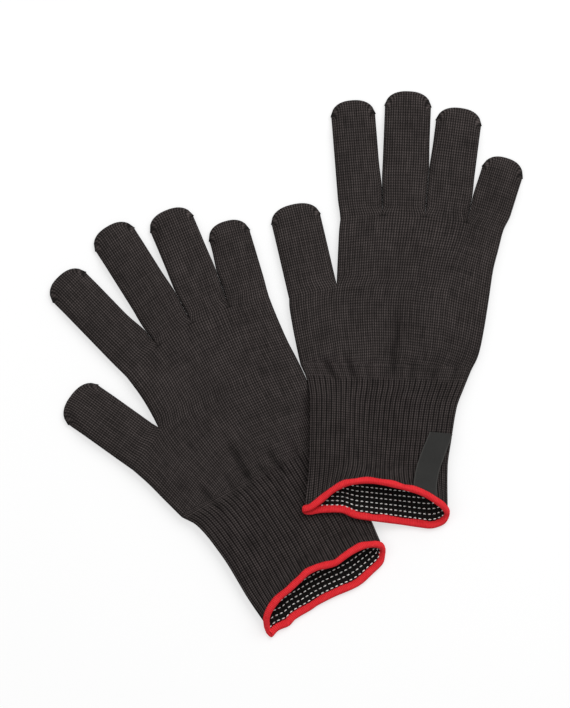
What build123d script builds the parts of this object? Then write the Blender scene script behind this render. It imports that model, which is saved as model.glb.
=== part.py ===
"""A pair of thin knitted heat resistant gloves, laid out flat on a table.

The left glove lies palm up.  The right glove lies back up, and its ribbed cuff is
draped over the edge of the left glove.  Each glove is a set of knitted tubes joined
in the knitting: a hand, four fingers, a thumb and a ribbed cuff that ends in an
overlocked edge round its open mouth.

Millimetres, +Z up, the table is Z = 0, and the origin is the middle of the pair.
"""
import math
import os
from dataclasses import dataclass, replace

from build123d import *

# Fabric and lay
hand_thickness = 7.0         # both layers of the hand and the slack between them
finger_thickness = 6.0
wall = 1.15                  # one layer of fine jersey, a little swollen
open_end = 3.45              # the hand's hollow runs out this far through its openings
fold_radius = 2.4            # where a tube folds over at its side
bend_half = 3.8              # half the length of the zone where a digit bends
wrist_bend_half = 4.5        # the same at the wrist
tip_radius = 15.4            # closing curve of every fingertip
tip_corner_radius = 3.5
tip_thickness = 2.6          # at the closing seam
tip_taper = 9.0              # length over which a fingertip thins to its seam

# Ribbed cuff
rib_pitch_count = 29         # ribs across one side of a cuff
rib_depth = 0.5
inner_steps = 15             # facets across one side of the smooth inside
edge_steps = 20              # and of the knitted edge
cuff_thickness = 7.0
cuff_wall = 1.25
fold_fullness = 5.0          # exponent of the flattened section, 2 is an ellipse
mouth_incline = 40.0         # the open end leans back, its top edge behind its bottom edge
mouth_fullness = 2.6
mouth_foot = 0.7             # leaves room for the edge between mouth and table
edge_width = 3.6             # overlocked edge, along the cuff
edge_outside = 1.0           # how far it stands outside the cuff
edge_inside = 0.6            # and how far it stands into the mouth
edge_bevel = 0.9

# Drape of the right cuff over the left glove
drape_height = 7.6
drape_reach = 34.0           # from the covered edge to where the cuff is on the table
drape_fall = 31.0            # across this width it comes down
drape_run_in = 8.0           # along this length below the wrist it climbs

# Rows of elastic thread inside the mouth
thread_rows = 6
thread_first = 2.0           # from the mouth to the first row, along the fabric
thread_pitch = 2.8
thread_width = 0.9
thread_height = 0.4

# Label: one folded tape, sewn in at the cuff's edge
label_width = 11.5
label_length = 33.0
label_thickness = 0.8
label_foot = (26.0, -65.2, 14.6)     # middle of its sewn end, in the right glove's frame
label_rise = -12.0           # it slopes down along the cuff, degrees
label_turn = -10.0           # and leans away from the hand's axis
label_rounding = 0.25

table = 0.0


@dataclass
class Digit:
    """One finger or thumb, placed on the hand at the middle of its root line."""

    name: str
    x: float
    y: float
    lean: float              # degrees from the hand's own axis, towards its left
    length: float
    root_width: float
    tip_width: float


@dataclass
class CuffStation:
    """One section across a cuff: its foot, its two sides and how far it leans back."""

    y: float
    left: float
    right: float
    height: float
    incline: float = 90.0
    fullness: float = fold_fullness


@dataclass
class Glove:
    """A glove in its own frame: origin at the wrist, +Y to the fingers, thumb at -X."""

    name: str
    x: float
    y: float
    heading: float           # direction of the hand's axis, degrees from +Y
    wrist: tuple             # left and right end of the wrist line
    thumb_side: tuple        # a point of the side between wrist and thumb
    little_side: list        # three points of the side from little finger to wrist
    digits: list
    cuff: list
    draped: bool


right = Glove(
    name="right",
    x=55.78,
    y=-10.54,
    heading=-2.0,
    wrist=(-47.6, 48.8),
    thumb_side=(-52.4, 24.0),
    little_side=[(61.0, 72.0), (57.8, 50.0), (55.0, 28.0)],
    digits=[
        Digit("thumb", -43.4, 48.7, 14.8, 51.2, 28.4, 27.8),
        Digit("index_finger", -17.1, 94.0, 6.2, 66.2, 23.6, 25.0),
        Digit("middle_finger", 7.3, 95.1, -0.3, 71.7, 23.6, 26.2),
        Digit("ring_finger", 31.8, 94.4, -5.3, 63.9, 23.4, 25.8),
        Digit("little_finger", 55.3, 89.5, -13.7, 43.0, 22.6, 23.6),
    ],
    cuff=[
        CuffStation(-4.5, -44.2, 45.4, cuff_thickness),
        CuffStation(-17.0, -42.4, 41.4, cuff_thickness),
        CuffStation(-42.0, -42.2, 38.6, cuff_thickness),
        CuffStation(-63.0, -41.6, 37.6, 12.0, mouth_incline, mouth_fullness),
        CuffStation(-83.6, -41.0, 37.2, 23.5, mouth_incline, mouth_fullness),
    ],
    draped=True,
)

left = Glove(
    name="left",
    x=-15.72,
    y=-72.14,
    heading=30.0,
    wrist=(-48.4, 46.6),
    thumb_side=(-53.6, 23.0),
    little_side=[(55.6, 78.0), (53.6, 58.0), (51.0, 34.0)],
    digits=[
        Digit("thumb", -47.4, 50.2, 24.0, 51.6, 28.4, 27.8),
        Digit("index_finger", -23.9, 95.8, 13.6, 67.2, 23.6, 25.4),
        Digit("middle_finger", 0.2, 100.4, 2.0, 72.8, 23.0, 26.2),
        Digit("ring_finger", 24.0, 100.4, -7.5, 64.5, 23.0, 26.4),
        Digit("little_finger", 47.5, 96.1, -13.6, 46.8, 22.6, 23.6),
    ],
    cuff=[
        CuffStation(-4.5, -43.6, 45.2, cuff_thickness),
        CuffStation(-17.0, -41.2, 44.6, cuff_thickness),
        CuffStation(-44.0, -39.8, 44.0, cuff_thickness),
        CuffStation(-58.0, -39.6, 42.6, 12.0, mouth_incline, mouth_fullness),
        CuffStation(-77.0, -39.2, 40.2, 20.5, mouth_incline, mouth_fullness),
    ],
    draped=False,
)

# Edge of the left glove where it passes under the right cuff, in the right glove's frame
under_edge_start = (-46.9, -3.1)
under_edge_end = (-4.1, -86.6)


def glove_plane(glove):
    """The table plane under a glove, its x axis across the hand."""
    turn = math.radians(glove.heading)
    return Plane(
        origin=(glove.x, glove.y, table),
        x_dir=(math.cos(turn), math.sin(turn), 0),
        z_dir=(0, 0, 1),
    )


def digit_plane(glove, digit):
    """The table plane under a digit: origin on its root line, y axis to its tip."""
    turn = math.radians(glove.heading + digit.lean)
    return Plane(
        origin=glove_plane(glove).from_local_coords((digit.x, digit.y, 0)),
        x_dir=(math.cos(turn), math.sin(turn), 0),
        z_dir=(0, 0, 1),
    )


def smooth(value):
    """Ease from 0 to 1."""
    held = min(max(value, 0.0), 1.0)
    return held * held * (3 - 2 * held)


def save(part, name):
    part.label = name
    export_step(part, f"parts/{name}.step")
    return part


def flat_tube_section(left_side, right_side, height, inset):
    """Section of a flattened tube in the current sketch, folded over at both sides."""
    width = right_side - left_side - 2 * inset
    with Locations(((left_side + right_side) / 2, height / 2)):
        if inset:
            Rectangle(width, height - 2 * inset)
        else:
            RectangleRounded(width, height, fold_radius)


def digit_form(glove, digit, inset, start):
    """A closed flat digit from `start` to its tip, `inset` inside the full outline."""
    plane = digit_plane(glove, digit)
    section = Plane(origin=plane.origin, x_dir=plane.x_dir, z_dir=-plane.y_dir)
    side_view = Plane(origin=plane.origin, x_dir=plane.y_dir, z_dir=plane.x_dir)
    half_tip = digit.tip_width / 2 - inset
    tip = digit.length - inset
    radius = tip_radius - inset
    shoulder = tip - radius + math.sqrt(radius**2 - half_tip**2)
    top = finger_thickness - inset
    seam_top = tip_thickness - inset / 2
    with BuildPart() as form:
        for along, width in ((start, digit.root_width), (digit.length, digit.tip_width)):
            with BuildSketch(section.offset(-along)):
                flat_tube_section(-width / 2, width / 2, finger_thickness, inset)
        loft(ruled=True)
        with BuildSketch(plane):
            with BuildLine():
                Polyline(
                    (-half_tip, shoulder),
                    (-half_tip, start),
                    (half_tip, start),
                    (half_tip, shoulder),
                )
                ThreePointArc((half_tip, shoulder), (0, tip), (-half_tip, shoulder))
            make_face()
            fillet(vertices().group_by(Axis.Y)[-1], tip_corner_radius)
        extrude(amount=finger_thickness, mode=Mode.INTERSECT)
        with BuildSketch(side_view):
            with BuildLine():
                Polyline(
                    (tip, seam_top),
                    (tip, 0),
                    (start, 0),
                    (start, top),
                    (tip - tip_taper, top),
                )
                TangentArc((tip - tip_taper, top), (tip, seam_top), tangent=(1, 0))
            make_face()
        extrude(amount=digit.tip_width, both=True, mode=Mode.INTERSECT)
    return form.part


def digit_tube(glove, digit):
    """A knitted tube, closed at the tip and open at the root."""
    solid = digit_form(glove, digit, 0, bend_half)
    hollow = digit_form(glove, digit, wall, bend_half - wall)
    with BuildPart() as tube:
        add(solid)
        add(hollow, mode=Mode.SUBTRACT)
    return tube.part


def root_band(glove, digit):
    """The short stretch of knitting at a digit's root, where the digit bends."""
    plane = digit_plane(glove, digit)
    section = Plane(origin=plane.origin, x_dir=plane.x_dir, z_dir=-plane.y_dir)
    half = digit.root_width / 2
    with BuildPart() as band:
        with BuildSketch(section):
            flat_tube_section(-half, half, finger_thickness, 0)
        extrude(amount=bend_half, both=True)
        with BuildSketch(section):
            flat_tube_section(-half, half, finger_thickness, wall)
        extrude(amount=bend_half, both=True, mode=Mode.SUBTRACT)
    return band.part


def hand_outline(glove):
    """Plan of the hand in the current line: wrist, thumb side, digit roots, little side."""
    wrist_left, wrist_right = glove.wrist
    roots = []
    for digit in glove.digits:
        turn = math.radians(digit.lean)
        for side in (-0.5, 0.5):
            across = side * digit.root_width
            roots.append(
                (
                    digit.x + across * math.cos(turn) + bend_half * math.sin(turn),
                    digit.y + across * math.sin(turn) - bend_half * math.cos(turn),
                )
            )
    start = (wrist_left, wrist_bend_half)
    end = (wrist_right, wrist_bend_half)
    ThreePointArc(start, glove.thumb_side, roots[0])
    Polyline(*roots)
    below_knuckle, bend, above_wrist = glove.little_side
    ThreePointArc(roots[-1], below_knuckle, bend)
    ThreePointArc(bend, above_wrist, end)
    Line(end, start)


def hand_tube(glove):
    """The hand: one wide flat tube, open at the wrist and at every digit's root."""
    plane = glove_plane(glove)
    wrist_left, wrist_right = glove.wrist
    with BuildPart() as hollow:
        with BuildSketch(plane.offset(wall)):
            with BuildLine():
                hand_outline(glove)
            make_face()
            offset(amount=-wall, kind=Kind.INTERSECTION)
        extrude(amount=hand_thickness - 2 * wall)
        with BuildSketch(plane.offset(wall)):
            with Locations(((wrist_left + wrist_right) / 2, wrist_bend_half)):
                Rectangle(wrist_right - wrist_left - 2 * wall, open_end)
        extrude(amount=hand_thickness - 2 * wall)
        for digit in glove.digits:
            with BuildSketch(digit_plane(glove, digit).offset(wall)):
                with Locations((0, -bend_half)):
                    Rectangle(digit.root_width - 2 * wall, open_end)
            extrude(amount=finger_thickness - 2 * wall)
    with BuildPart() as hand:
        with BuildSketch(plane):
            with BuildLine():
                hand_outline(glove)
            make_face()
        extrude(amount=hand_thickness)
        fillet(side_fold_edges(hand), fold_radius)
        add(hollow.part, mode=Mode.SUBTRACT)
    return hand.part


def side_fold_edges(hand):
    """Curved edges of the hand, top and bottom, where its fabric folds over."""
    folds = hand.edges().filter_by(GeomType.LINE, reverse=True)
    return [edge for edge in folds if abs((edge @ 0.5).Z - (edge @ 0).Z) < wall]


def wrist_band(glove):
    """The stretch of knitting that bends at the wrist, between hand and ribbed cuff."""
    plane = glove_plane(glove)
    section = Plane(origin=plane.origin, x_dir=plane.x_dir, z_dir=-plane.y_dir)
    first = glove.cuff[0]
    hand_end = (*glove.wrist, hand_thickness)
    cuff_end = (first.left, first.right, cuff_thickness)
    with BuildPart() as band:
        for inset, mode in ((0, Mode.ADD), (wall, Mode.SUBTRACT)):
            with BuildSketch(section.offset(-wrist_bend_half)):
                flat_tube_section(*hand_end, inset)
            with BuildSketch(section.offset(wrist_bend_half)):
                flat_tube_section(*cuff_end, inset)
            loft(ruled=True, mode=mode)
    return band.part


def drape(glove, x, y):
    """How far the fabric is lifted by the glove that it lies over."""
    if not glove.draped:
        return 0.0
    start_x, start_y = under_edge_start
    end_x, end_y = under_edge_end
    edge_x = start_x + (y - start_y) * (end_x - start_x) / (end_y - start_y)
    below_wrist = -wrist_bend_half - y
    climbed = smooth(below_wrist / drape_run_in)
    return drape_height * climbed * smooth((edge_x + drape_reach - x) / drape_fall)


def station_plane(glove, station):
    """Plane of one cuff section: x across the cuff, y up along the leaning section."""
    plane = glove_plane(glove)
    incline = math.radians(station.incline)
    upward = plane.y_dir * math.cos(incline) + plane.z_dir * math.sin(incline)
    foot = mouth_foot if station.incline < 90 else 0.0
    return Plane(
        origin=plane.from_local_coords((0, station.y, foot)),
        x_dir=plane.x_dir,
        z_dir=plane.x_dir.cross(upward),
    )


def tube_outline(glove, station, steps, grow, rib=0.0):
    """Closed outline of a cuff section, over its foot to the right and back on top."""
    incline = math.radians(station.incline)
    middle = (station.left + station.right) / 2
    half_width = (station.right - station.left) / 2 + grow
    half_height = station.height / 2
    points = []
    for side in (-1, 1):
        for step in range(steps):
            across = -side * (2 * step / steps - 1)
            bulge = (1 - abs(across) ** station.fullness) ** (1 / station.fullness)
            ridge = -rib * (step % 2)
            x = middle + half_width * across
            up = half_height + side * bulge * (half_height + grow + ridge)
            lift = drape(glove, x, station.y + up * math.cos(incline))
            points.append((x, up + lift / math.sin(incline)))
    return points


def cuff_tube(glove):
    """The ribbed cuff, knitted rib by rib down to its leaning open mouth."""
    with BuildPart() as cuff:
        for steps, grow, rib, mode in (
            (2 * rib_pitch_count, 0.0, rib_depth, Mode.ADD),
            (inner_steps, -cuff_wall, 0.0, Mode.SUBTRACT),
        ):
            for station in glove.cuff:
                with BuildSketch(station_plane(glove, station)):
                    with BuildLine():
                        Polyline(*tube_outline(glove, station, steps, grow, rib), close=True)
                    make_face()
            loft(ruled=True, mode=mode)
    return cuff.part


def cuff_edge(glove):
    """The overlocked edge: a soft bevelled band all round the mouth."""
    mouth = glove.cuff[-1]
    outside = edge_outside - edge_bevel
    inside = -cuff_wall - edge_inside + edge_bevel
    profile = (
        (0.0, outside, inside),
        (edge_bevel, edge_outside, -cuff_wall - edge_inside),
        (edge_width - edge_bevel, edge_outside, -cuff_wall - edge_inside),
        (edge_width, outside, inside),
    )
    with BuildPart() as edge:
        for column, mode in ((1, Mode.ADD), (2, Mode.SUBTRACT)):
            for row in profile:
                with BuildSketch(station_plane(glove, mouth).offset(row[0])):
                    with BuildLine():
                        Polyline(
                            *tube_outline(glove, mouth, edge_steps, row[column]), close=True
                        )
                    make_face()
            loft(ruled=True, mode=mode)
    return edge.part


def thread_outline(glove, along, grow):
    """Outline of the cuff's inside, `along` millimetres above the mouth."""
    above, mouth = glove.cuff[-2:]
    share = along / (above.y - mouth.y)
    ends = [
        tube_outline(glove, station, inner_steps, grow - cuff_wall)
        for station in (mouth, above)
    ]
    return [
        (x + share * (next_x - x), up + share * (next_up - up))
        for (x, up), (next_x, next_up) in zip(*ends)
    ]


def elastic_threads(glove):
    """Rows of elastic thread laid round the inside of the mouth, one ring a row."""
    mouth = glove.cuff[-1]
    with BuildPart() as threads:
        for row in range(thread_rows):
            start = thread_first + row * thread_pitch
            for grow, mode in ((0.0, Mode.ADD), (-thread_height, Mode.SUBTRACT)):
                for along in (start, start + thread_width):
                    row_station = replace(mouth, y=mouth.y + along)
                    with BuildSketch(station_plane(glove, row_station)):
                        with BuildLine():
                            Polyline(*thread_outline(glove, along, grow), close=True)
                        make_face()
                loft(ruled=True, mode=mode)
    return threads.part


def label_plane(glove):
    """Plane of the label: origin on its sewn line, y axis up along the cuff."""
    foot = glove_plane(glove).from_local_coords(label_foot)
    return Plane(origin=foot, x_dir=glove_plane(glove).x_dir, z_dir=(0, 0, 1)).rotated(
        (label_rise, 0, label_turn)
    )


def label_tab(glove):
    """A folded tape, bare, sewn in under the cuff's edge and lying up along the ribs."""
    with BuildPart() as label:
        with BuildSketch(label_plane(glove)):
            with Locations((0, label_length / 2)):
                RectangleRounded(label_width, label_length, label_rounding)
        extrude(amount=label_thickness)
    return label.part


os.makedirs("parts", exist_ok=True)
for glove in (left, right):
    save(hand_tube(glove), f"{glove.name}_hand")
    for digit in glove.digits:
        save(digit_tube(glove, digit), f"{glove.name}_{digit.name}")
        save(root_band(glove, digit), f"{glove.name}_{digit.name}_root")
    save(wrist_band(glove), f"{glove.name}_wrist")
    save(cuff_tube(glove), f"{glove.name}_ribbed_cuff")
    save(cuff_edge(glove), f"{glove.name}_cuff_edge")
    save(elastic_threads(glove), f"{glove.name}_elastic_threads")
save(label_tab(right), "right_label")
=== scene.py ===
"""Looks for a pair of thin knitted heat resistant gloves, laid out flat on a table.

Every glove is built the way it is knitted: columns of stitches run up from the ribbed
cuff through the hand into the digits, and each digit is a flat tube closed at its tip.
Shapes are worked out in millimetres in a glove's own frame, origin at the wrist, +Y to
the fingers and the thumb at -X, and turned into metres in the shared frame at the end.
"""
import math
from dataclasses import dataclass

import bpy
import numpy as np
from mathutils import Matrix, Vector
from mathutils.kdtree import KDTree


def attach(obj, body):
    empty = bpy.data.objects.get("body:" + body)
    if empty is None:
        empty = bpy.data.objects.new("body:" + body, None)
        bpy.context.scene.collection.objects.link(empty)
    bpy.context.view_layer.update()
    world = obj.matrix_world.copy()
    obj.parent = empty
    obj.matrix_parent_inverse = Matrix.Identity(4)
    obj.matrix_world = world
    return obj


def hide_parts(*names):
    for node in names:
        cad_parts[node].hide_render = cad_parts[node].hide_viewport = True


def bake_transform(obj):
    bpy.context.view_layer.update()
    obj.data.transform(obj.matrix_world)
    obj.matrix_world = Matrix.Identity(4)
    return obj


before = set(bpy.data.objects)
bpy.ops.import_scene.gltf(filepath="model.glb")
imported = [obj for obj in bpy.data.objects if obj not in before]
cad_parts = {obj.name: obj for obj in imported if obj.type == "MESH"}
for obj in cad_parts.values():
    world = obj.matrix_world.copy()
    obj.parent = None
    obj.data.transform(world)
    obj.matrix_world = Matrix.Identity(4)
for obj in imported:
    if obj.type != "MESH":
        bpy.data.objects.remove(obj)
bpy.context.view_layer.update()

MM = 0.001
tiny = 1e-12                 # shortest length that still gives a direction
span_points = 24             # of a smooth curve from one given point to the next

# Knitting: all counts are columns of stitches, called wales
finger_wales = 19            # across one side of a finger
palm_wales = 4 * finger_wales
thumb_wales = 22
fold_wales = 8               # round a side fold
fold_middle = fold_wales // 2 - 1    # number of the fold's point on the outline
fold_inset = 2.6             # how far a side fold reaches in from the outline
mirror_wale = 400            # wale number at which the underside's count starts
row_pitch = 1.9              # between rows of mesh points along a tube
shell = 0.9                  # thickness of one layer of jersey

# Thickness of the flattened tubes, both layers
hand_height = 7.0
finger_height = 6.1
root_swell = 0.3             # added to it at a finger's root
edge_share = 0.84            # of the height, at the side folds
crown_width = 7.0            # width over which it rises to full height

# Digits
root_settle = 10.0           # the root's swelling fades over this length
root_blend = 5.0             # and the hand's own heights over this one
spread_length = 10.0         # a digit reaches its full width here
crotch_run_in = 6.5          # beside the thumb, a fold leaves the crotch over this length
fold_run_in = 6.24           # a digit's fold leaves the root's line over this length
outline_reach = 3.9          # its outline leaves the hand's own over this length
press_reach = 0.8            # and a side that its neighbour presses on, over this one
press_gap = 0.012
parting = 16.0               # length over which they part
tip_height = 3.3             # at the closing seam of a fingertip
tip_taper = 12.0
tip_round = 2.4
tip_rise = 9.0               # from the ends of the closing seam to the very tip
tip_fullness = 2.4           # exponent of the closing curve, 2 for an ellipse
tip_knot = 0.5               # little knot at each end of the closing seam
tip_rows = (0.0, 0.25, 0.7, 1.35, 2.2, 3.3, 4.7)     # distances of rows from the seam
fold_closing = 3.2           # a side fold closes over this length before the seam
least_slope = 0.02           # of the closing curve, where the distance from it is read

# Unevenness of the upper layer
wave_height = 0.24
wave_lengths = (13, 42)
facing_low = 0.2             # it begins where a normal rises this much
facing_fade = 0.5
# Painted shade: the yarn is drawn darker in side folds and in furrows
folded_below = 0.75          # a normal that rises less than this is in a fold
furrow_width = 2.0
furrow_shade = 0.42          # painted shade in a furrow, per millimetre of its depth
still_below = -58.0          # the mouth of the cuff stays as its outline says
still_fade = 14.0

# Ribbed cuff
ribs_per_side = 31
rib_wales = 2                # columns of stitches in a rib
rib_points = 8               # columns of mesh points across one rib
rib_depth = 0.5
rib_lead = 1.0               # ribs begin this far above their start
rib_run_in = 5.0
groove_sharpness = 1.6
cuff_height = 7.0
cuff_squareness = 5.0        # exponent of its flattened section, 2 for an ellipse
cuff_layer = 1.2
cuff_rows = 56
section_points = 400         # that a layer of the section is first drawn with

# Drape of the right cuff over the left glove
drape_height = 7.6
drape_reach = 34.0
drape_fall = 31.0
drape_run_in = 8.0
under_edge_start = (-46.9, -3.1)     # the left glove's side, in the right glove's frame
under_edge_end = (-4.1, -86.6)

# Overlocked edge
edge_length = 3.9            # along the cuff
edge_overhang = 0.5          # past the end of the fabric
edge_outside = 0.95
edge_inside = 0.8
edge_squareness = 2.7        # exponent of its section, 2 for an ellipse
edge_thinning = 0.6          # share by which the fabric is pressed together inside it
edge_spread = 0.1            # share by which it is longer at the lower side
edge_lower_side = 0.4        # which is where its normal rises less than this
edge_waves = (6, 22)         # lengths of its unevenness
edge_wave_ring = 26          # radius of the ring that they are read round
edge_uneven_length = 0.07    # shares by which its size varies
edge_uneven_height = 0.05
edge_stride = 3              # points and rows over which its directions are read
stitch_pitch = 0.95          # between the overlocking threads
stitch_points = 5            # mesh points from one thread to the next
thread_ridge = 0.13          # height of a thread as a share of the section
thread_mean = 0.64           # mean height of a thread's round top
edge_section = 18            # mesh points round its section
edge_calming = 14            # rounds of smoothing of the way the band faces
floor_gap = 0.05

# Elastic thread laid in inside the mouth
thread_rows = 9
thread_first = 3.4
thread_pitch = 2.25
thread_radius = 0.37
thread_sides = 8
thread_wave = 0.31           # how far it weaves in and out of the fabric
thread_sink = 0.25

# Label: a tape folded in two, its fold at the upper end, sewn in under the edge
label_width = 13.2
label_middle = [(24.6, -69.4), (24.8, -62.0), (26.0, -54.0), (28.6, -45.5), (31.4, -38.0), (33.1, -33.4)]
label_thickness = 0.34
label_gap = 0.3              # between the two layers
label_slack = 0.35           # how far its upper layer stands off between its ends
label_clearance = 0.45       # of its middle above the ribs
label_lean_reach = 4.5       # its tilt is read from the ribs this far beside its middle
label_lean = 0.2             # most that it may tilt
label_calming = 7            # rows over which its height and tilt are evened out
label_tuck = 1.25            # how far its foot goes down to pass under the edge
label_tuck_reach = 5.0
label_foot_slant = 0.46      # its foot follows the slant of the red edge
label_top_slant = 0.32       # its fold isn't square to it
label_turn_in = 0.9          # how far its upper corner turns in round the cuff's side
label_turn_down = 1.3        # and down
label_rows = 40
label_columns = 12
label_bends = 9              # mesh rows round its fold, both ends counted
label_nearest = 6            # points of the ribs that its height is read from
label_nearest_gap = 0.05     # keeps the nearest one from counting alone
label_hinge = 6.0            # from its foot up to the second end point worked out beside it

# Zones at the digits' roots and the wrist
digit_bend = 7.6             # from a digit's root to the upper end point worked out for it
wrist_half = 4.5             # half the length of the wrist zone between the hand and the cuff

# Stitches
jersey_wales = 0.81          # columns of stitches per column of mesh in the hand
flat_wales = 1.38            # and per wale of the ribs, above where they begin
jersey_course = 1.6          # from one row of stitches to the next
rib_course = 1.4
stitch_slant = 0.3           # rise of a stitch's legs from its middle, in courses

# Fine relief, in metres
yarn_relief = 0.00022
overlock_relief = 0.00016
elastic_relief = 0.0001
tape_relief = 0.00006

# Colours
yarn_light = (0.1, 0.083, 0.08)
# yarn_dark is also the colour of the painted shade in the rib grooves and at the crotches
yarn_dark = (0.002, 0.0015, 0.0014)
# colour of the painted shade inside the cuff
inside_shade = (0.003, 0.003, 0.0026)
red_deep = (0.72, 0.008, 0.016)
red_bright = (1.0, 0.044, 0.056)
elastic_dull = (0.88, 0.87, 0.84)
elastic_bright = (0.98, 0.98, 0.96)
tape_dark = (0.01, 0.0098, 0.0091)
tape_light = (0.034, 0.0335, 0.0315)
selvedge_tone = (0.08, 0.079, 0.074)

# Light: world, table and lamps together show a colour about as it is written
world_strength = 0.42
table_tone = 0.45
table_lift = 0.6             # for what the camera sees of the table, which makes it white
lamp_distance = 1.6

# Table and camera
floor_half = 30.0
floor_drop = 0.0002          # keeps the table clear of the gloves' flat undersides
elevation = math.radians(78.5)
lens = 600.0
frame_height = 0.4036        # metres that the picture's long side spans at the gloves
aim = Vector((-0.0015, 0.0020, 0.003))


@dataclass
class Digit:
    """One finger or thumb, placed on the hand at the middle of its root line."""

    name: str
    x: float
    y: float
    lean: float              # degrees from the hand's own axis, towards its left
    length: float
    root_width: float
    tip_width: float


@dataclass
class Glove:
    """Where a glove lies and its outline, thumb side and little side from the wrist up."""

    name: str
    x: float
    y: float
    heading: float
    thumb_side: list
    index_side: list
    little_side: list
    row_height: float        # where the row through the thumb's crotch meets the little side
    digits: list
    contacts: list           # lengths over which neighbouring fingers touch
    rib_start: float         # where the ribs begin, from the end of the hand
    sides: list              # cuff sections: distance from the wrist, left and right side
    rim_top: list            # end of the cuff's upper layer, from the left fold on
    rim_bottom: list         # end of its lower layer, from the right fold back
    furrows: list            # gathers over the wrist: lower end, upper end and depth
    draped: bool
    seed: int

    def neighbour(self, digit, side):
        """The finger that presses on a finger's left (-1) or right (1) side."""
        fingers = self.digits[1:]
        if digit not in fingers:
            return None
        beside = fingers.index(digit) + side
        return fingers[beside] if 0 <= beside < len(fingers) else None

    def contact(self, digit, side):
        """Length above their crotch over which a finger and its neighbour touch."""
        number = self.digits[1:].index(digit)
        return self.contacts[number - 1 if side < 0 else number]


right = Glove(
    name="right",
    x=55.78,
    y=-10.54,
    heading=-2.0,
    thumb_side=[(-48.6, 4.5), (-50.3, 11.0), (-53.6, 25.0), (-56.0, 37.0)],
    index_side=[(-29.6, 62.0), (-29.5, 74.0), (-29.3, 84.0)],
    little_side=[
        (48.6, 4.5), (52.6, 14.0), (55.2, 28.4), (57.4, 46.0), (59.4, 63.5), (61.9, 75.2),
    ],
    row_height=47.0,
    digits=[
        Digit("thumb", -43.4, 48.7, 14.8, 51.2, 28.4, 28.4),
        Digit("index_finger", -17.1, 94.0, 6.4, 66.8, 24.2, 25.2),
        Digit("middle_finger", 7.3, 95.1, -0.3, 71.7, 24.0, 26.4),
        Digit("ring_finger", 31.8, 94.4, -5.3, 63.9, 24.0, 26.0),
        Digit("little_finger", 54.2, 89.5, -15.2, 41.6, 21.2, 23.9),
    ],
    contacts=[15.0, 26.5, 10.0],
    rib_start=8.0,
    sides=[(-4.5, -44.6, 45.4), (-17.0, -42.6, 41.3), (-36.0, -42.0, 38.8), (-52.0, -41.8, 37.2)],
    rim_top=[
        (-43.9, -82.0, 10.3), (-43.0, -81.9, 12.2), (-39.6, -81.0, 12.9), (-36.6, -78.8, 13.5),
        (-33.6, -76.3, 14.6), (-28.0, -71.3, 17.4), (-21.0, -67.6, 20.0), (-14.4, -66.0, 21.2),
        (-8.0, -65.3, 21.6), (-1.3, -65.5, 20.8), (6.0, -66.4, 19.2), (13.3, -67.7, 17.4),
        (20.7, -69.4, 15.7), (26.6, -71.7, 14.3), (31.8, -74.7, 12.6), (35.6, -77.0, 9.8),
    ],
    rim_bottom=[
        (38.1, -80.0, 5.4), (37.0, -83.4, 2.6), (34.0, -85.4, 1.2), (28.6, -87.0, 1.0),
        (21.3, -86.5, 1.1), (13.0, -85.7, 2.0), (6.7, -85.4, 3.6), (-0.6, -85.1, 5.6),
        (-7.9, -84.7, 7.4), (-15.2, -83.8, 8.2), (-22.5, -81.1, 8.2), (-33.4, -81.5, 8.2),
        (-39.9, -82.8, 8.3), (-43.0, -82.6, 8.7),
    ],
    furrows=[
        ((-27.5, -6.0), (-39.0, 14.0), 1.5),
        ((-17.0, -5.0), (-24.0, 14.0), 1.5),
        ((-8.5, -6.0), (-9.5, 12.0), 0.9),
        ((3.2, -8.0), (7.4, 50.0), 1.4),
        ((14.0, -6.0), (15.5, 18.0), 0.9),
        ((26.0, -6.0), (31.0, 16.0), 1.0),
        ((36.5, -6.0), (44.5, 16.0), 1.0),
    ],
    draped=True,
    seed=3,
)

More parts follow.
